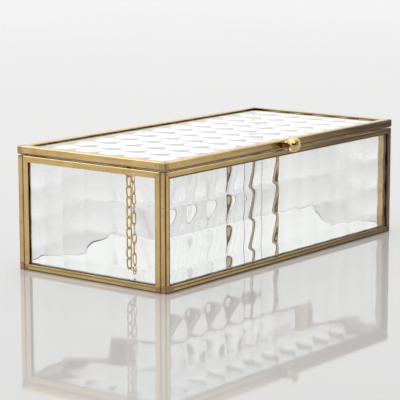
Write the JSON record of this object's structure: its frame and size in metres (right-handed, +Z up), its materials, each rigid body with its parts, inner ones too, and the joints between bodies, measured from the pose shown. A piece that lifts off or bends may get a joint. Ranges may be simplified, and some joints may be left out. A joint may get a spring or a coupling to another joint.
{
  "type": "jewelry box",
  "caption": "Low rectangular glass box edged with brass channels, with a hinged glass lid, a ball knob, a mirror floor and a lid-stay chain.",
  "frame": {"origin": "middle of the underside, on the surface the box stands on", "axes": "+X along the long side, -Y towards the front with the knob, +Z up"},
  "size_m": [0.21, 0.1113, 0.0681],
  "materials": {
    "brass": "satin, aged",
    "polished_brass": "polished",
    "chain_brass": "semi-polished",
    "solder": "rough",
    "glass": "pressed square relief",
    "mirror": "clear"
  },
  "bodies": {
    "box": {"front_bottom_channel": "brass", "front_top_channel": "brass", "front_left_channel": "brass", "front_right_channel": "brass", "front_glass": "glass", "back_bottom_channel": "brass", "back_top_channel": "brass", "back_left_channel": "brass", "back_right_channel": "brass", "back_glass": "glass", "left_bottom_channel": "brass", "left_top_channel": "brass", "left_left_channel": "brass", "left_right_channel": "brass", "left_glass": "glass", "right_bottom_channel": "brass", "right_top_channel": "brass", "right_left_channel": "brass", "right_right_channel": "brass", "right_glass": "glass", "corner_solder": "solder", "base_plate": "brass", "base_mirror": "mirror", "left_hinge_body_leaf": "brass", "right_hinge_body_leaf": "brass", "left_hinge_pin": "brass", "right_hinge_pin": "brass", "chain_pin_body": "chain_brass"},
    "lid": {"lid_front_channel": "brass", "lid_back_channel": "brass", "lid_left_channel": "brass", "lid_right_channel": "brass", "lid_glass": "glass", "lid_rest_solder": "solder", "left_hinge_lid_leaf": "brass", "right_hinge_lid_leaf": "brass", "knob_ball": "polished_brass", "knob_collar": "polished_brass", "knob_stud": "polished_brass", "chain_lug_lid": "chain_brass", "chain_pin_lid": "chain_brass"},
    "chain_lower": {"chain_ring_body": "chain_brass", "chain_links_body": "chain_brass"},
    "chain_turn": {"chain_turn_link": "chain_brass"},
    "chain_upper": {"chain_ring_lid": "chain_brass", "chain_links_lid": "chain_brass"}
  },
  "joints": [
    {"name": "lid_hinge", "type": "hinge", "parent": "box", "child": "lid", "pos_m": [0, 0.05115, 0.06165], "axis": [-1, 0, 0], "range_deg": [0, 90.8]},
    {"name": "chain_lower_swing", "type": "hinge", "parent": "box", "child": "chain_lower", "pos_m": [-0.0997, -0.0224, 0.0586], "axis": [1, 0, 0], "range_deg": [0, 136.14]},
    {"name": "chain_turn_swing", "type": "hinge", "parent": "chain_lower", "child": "chain_turn", "pos_m": [-0.0996, -0.0222, 0.0099], "axis": [1, 0, 0], "range_deg": [0, 17.74]},
    {"name": "chain_upper_swing", "type": "hinge", "parent": "lid", "child": "chain_upper", "pos_m": [-0.096, -0.0226, 0.0604], "axis": [1, 0, 0], "range_deg": [0, 47.9]}
  ],
  "couplings": [
    {"joint": "chain_lower_swing", "follows": "lid_hinge", "ratio": 1.4988},
    {"joint": "chain_turn_swing", "follows": "lid_hinge", "ratio": 0.19479},
    {"joint": "chain_upper_swing", "follows": "lid_hinge", "ratio": 0.52702}
  ]
}
